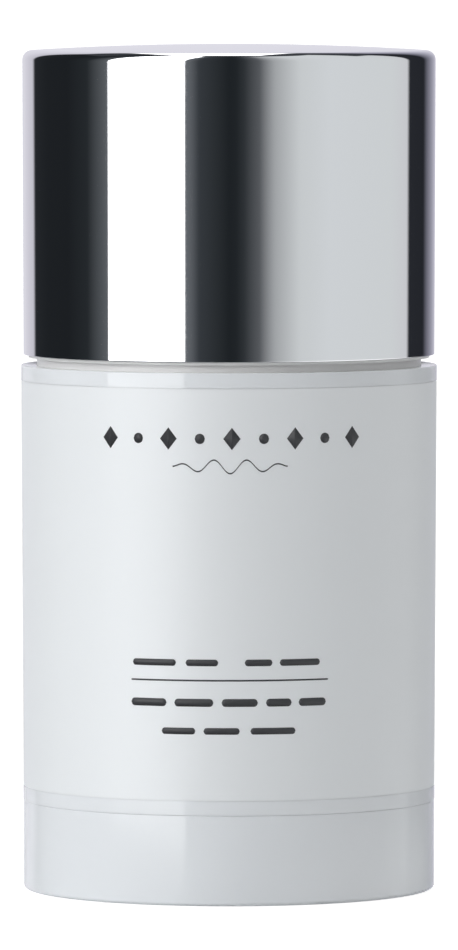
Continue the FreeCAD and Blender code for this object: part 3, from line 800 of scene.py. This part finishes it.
def pale_floor():
    """Matt white table: plain to the camera, with the pack's own soft shadow."""
    material, tree = new_material("Studio Floor")
    paint = add_node(tree, "ShaderNodeBsdfDiffuse", inputs={"Color": (*linear("dcdcdc"), 1.0)})
    lift = add_node(tree, "ShaderNodeEmission", inputs={"Color": (1, 1, 1, 1), "Strength": 0.7})
    paths = add_node(tree, "ShaderNodeLightPath")
    lifted = add_node(tree, "ShaderNodeAddShader", inputs={0: paint.outputs[0], 1: lift.outputs[0]})
    surface = add_node(tree, "ShaderNodeMixShader", inputs={
        0: paths.outputs["Is Camera Ray"], 1: paint.outputs[0], 2: lifted.outputs[0]})
    finish_material(tree, surface)
    return material


FLOOR_RADIUS = 60.0
FLOOR_DEPTH = 0.02 * MM
FIELD_OF_VIEW = 5.472
NEAREST, FARTHEST = 0.05, 200.0


class DEODORANT_OT_stage(bpy.types.Operator):
    """Set up the floor, the light and the camera"""

    bl_idname = "deodorant.stage"
    bl_label = "Stage"

    def execute(self, context):
        studio = settings().studio
        work = bmesh.new()
        below = Matrix.Translation((0, 0, -FLOOR_DEPTH))
        bmesh.ops.create_circle(work, cap_ends=True, segments=96, radius=FLOOR_RADIUS, matrix=below)
        mesh = bpy.data.meshes.new("floor")
        work.to_mesh(mesh)
        work.free()
        mesh.materials.append(pale_floor())
        floor = bpy.data.objects.new("floor", mesh)
        floor.visible_glossy = False
        context.scene.collection.objects.link(floor)

        context.scene.world = studio_world()
        context.scene.view_settings.view_transform = "Standard"

        lens = bpy.data.cameras.new("camera")
        lens.lens = lens.sensor_width / 2 / math.tan(math.radians(FIELD_OF_VIEW / 2))
        lens.clip_start, lens.clip_end = NEAREST, FARTHEST
        camera = bpy.data.objects.new("camera", lens)
        eye, aim = Vector((0, -studio.distance, studio.eye)), Vector((0, 0, studio.aim))
        camera.location = eye
        camera.rotation_mode = "QUATERNION"
        camera.rotation_quaternion = (aim - eye).to_track_quat("-Z", "Y")
        context.scene.collection.objects.link(camera)
        context.scene.camera = camera
        return {"FINISHED"}


class DEODORANT_PG_all(bpy.types.PropertyGroup):
    cap: PointerProperty(type=DEODORANT_PG_cap)
    barrel: PointerProperty(type=DEODORANT_PG_barrel)
    product: PointerProperty(type=DEODORANT_PG_product)
    studio: PointerProperty(type=DEODORANT_PG_studio)


OPERATORS = (
    DEODORANT_OT_overcap,
    DEODORANT_OT_barrel,
    DEODORANT_OT_label,
    DEODORANT_OT_print,
    DEODORANT_OT_product,
    DEODORANT_OT_mouldings,
    DEODORANT_OT_stage,
)


class DEODORANT_PT_panel(bpy.types.Panel):
    bl_idname = "DEODORANT_PT_panel"
    bl_label = "Deodorant Stick"
    bl_space_type = "VIEW_3D"
    bl_region_type = "UI"
    bl_category = "Deodorant"

    def draw(self, context):
        for operator in OPERATORS:
            self.layout.operator(operator.bl_idname)
        for group in (settings().cap, settings().barrel, settings().product, settings().studio):
            box = self.layout.box()
            for key in group.__annotations__:
                box.prop(group, key)


CLASSES = (
    DEODORANT_PG_cap,
    DEODORANT_PG_barrel,
    DEODORANT_PG_product,
    DEODORANT_PG_studio,
    DEODORANT_PG_all,
    *OPERATORS,
    DEODORANT_PT_panel,
)


def register():
    for each in CLASSES:
        bpy.utils.register_class(each)
    bpy.types.Scene.deodorant = PointerProperty(type=DEODORANT_PG_all)


def unregister():
    del bpy.types.Scene.deodorant
    for each in reversed(CLASSES):
        bpy.utils.unregister_class(each)


def main():
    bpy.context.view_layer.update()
    register()
    bpy.ops.deodorant.overcap()
    bpy.ops.deodorant.barrel()
    bpy.ops.deodorant.label()
    bpy.ops.deodorant.print()
    bpy.ops.deodorant.product()
    bpy.ops.deodorant.mouldings()
    bpy.ops.deodorant.stage()


if __name__ == "__main__":
    main()
